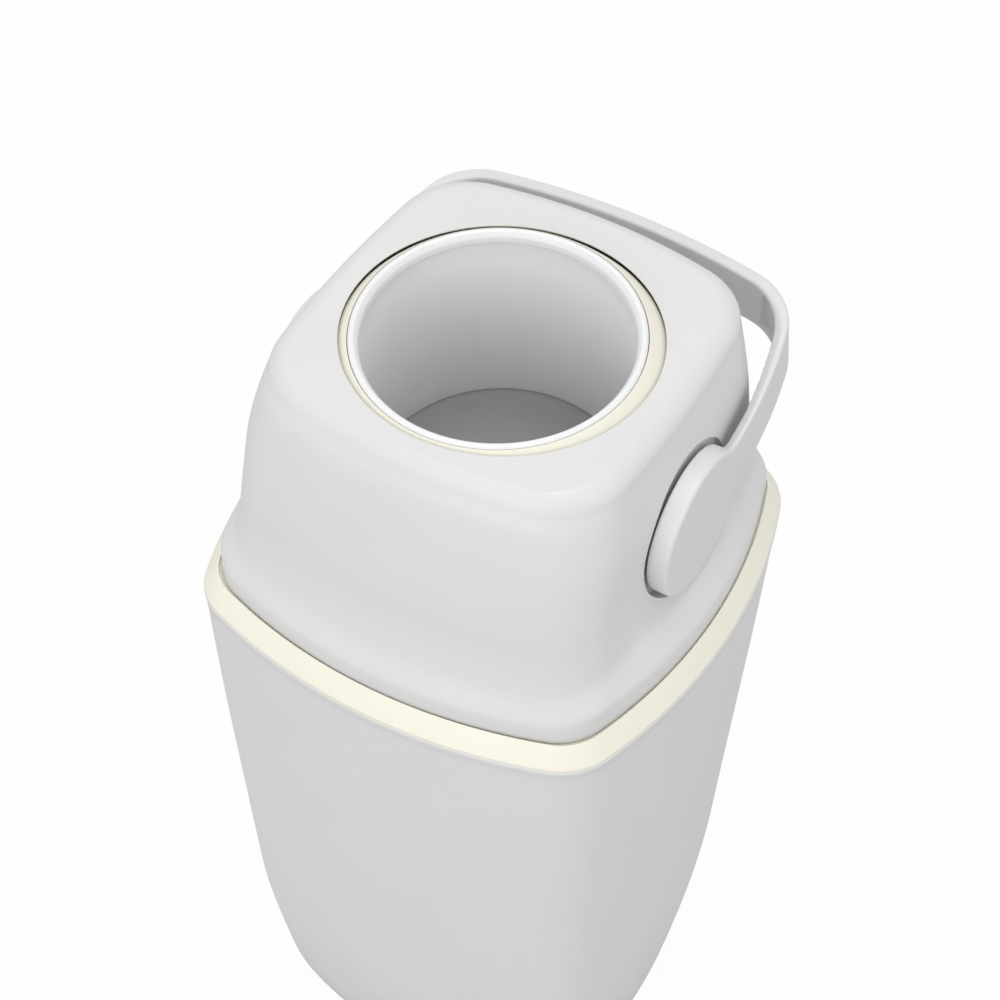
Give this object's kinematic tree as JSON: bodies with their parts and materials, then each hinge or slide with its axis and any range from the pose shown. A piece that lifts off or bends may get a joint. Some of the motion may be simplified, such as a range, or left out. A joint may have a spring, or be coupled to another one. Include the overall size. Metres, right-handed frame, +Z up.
{
  "type": "nappy bin",
  "caption": "Free-standing nappy bin: tapered bucket, cream bag ring and a hinged head whose ball drum, turned over by a bail handle, drops a nappy into the bag.",
  "frame": {"origin": "centre of the bin's footprint on the floor, under the centre of the mouth", "axes": "+Z up, +X through the right hub of the handle, -Y towards the front where the head opens"},
  "size_m": [0.2656, 0.2774, 0.5292],
  "materials": {
    "grey_plastic": "satin, light grey",
    "cream_plastic": "satin, cream",
    "pale_plastic": "satin, pale grey",
    "inner_plastic": "matt, light grey",
    "piston_plastic": "satin, mid grey",
    "bearing_plastic": "smooth, natural white",
    "seal_rubber": "matt, grey",
    "steel": "zinc-plated",
    "weight_steel": "plain"
  },
  "bodies": {
    "bin": {"bucket": "grey_plastic", "bag_ring": "cream_plastic", "hinge_pin": "steel"},
    "head": {"head_cover": "grey_plastic", "head_base": "inner_plastic", "head_gasket": "seal_rubber", "head_screws": "steel", "upper_seal": "seal_rubber", "lower_seal": "seal_rubber", "bush_left": "bearing_plastic", "bush_right": "bearing_plastic"},
    "drum": {"ball_upper": "cream_plastic", "ball_lower": "cream_plastic", "chute_tube": "inner_plastic", "mouth_rim_upper": "pale_plastic", "mouth_rim_lower": "pale_plastic", "handle": "grey_plastic", "hub_washers": "steel", "hub_screws": "steel"},
    "piston": {"piston_upper": "piston_plastic", "piston_lower": "piston_plastic", "piston_weight": "weight_steel", "piston_wiper_upper": "seal_rubber", "piston_wiper_lower": "seal_rubber", "piston_screws": "steel"}
  },
  "joints": [
    {"name": "head_hinge", "type": "hinge", "parent": "bin", "child": "head", "pos_m": [0, 0.13861, 0.3886], "axis": [-1, 0, 0], "range_deg": [0, 95]},
    {"name": "drum_turn", "type": "hinge", "parent": "head", "child": "drum", "pos_m": [0, 0, 0.45], "axis": [1, 0, 0], "range_deg": [0, 173.6]},
    {"name": "piston_fall", "type": "slide", "parent": "drum", "child": "piston", "axis": [0, -0.0558, 0.9984], "range_m": [0, 0.1082]}
  ]
}
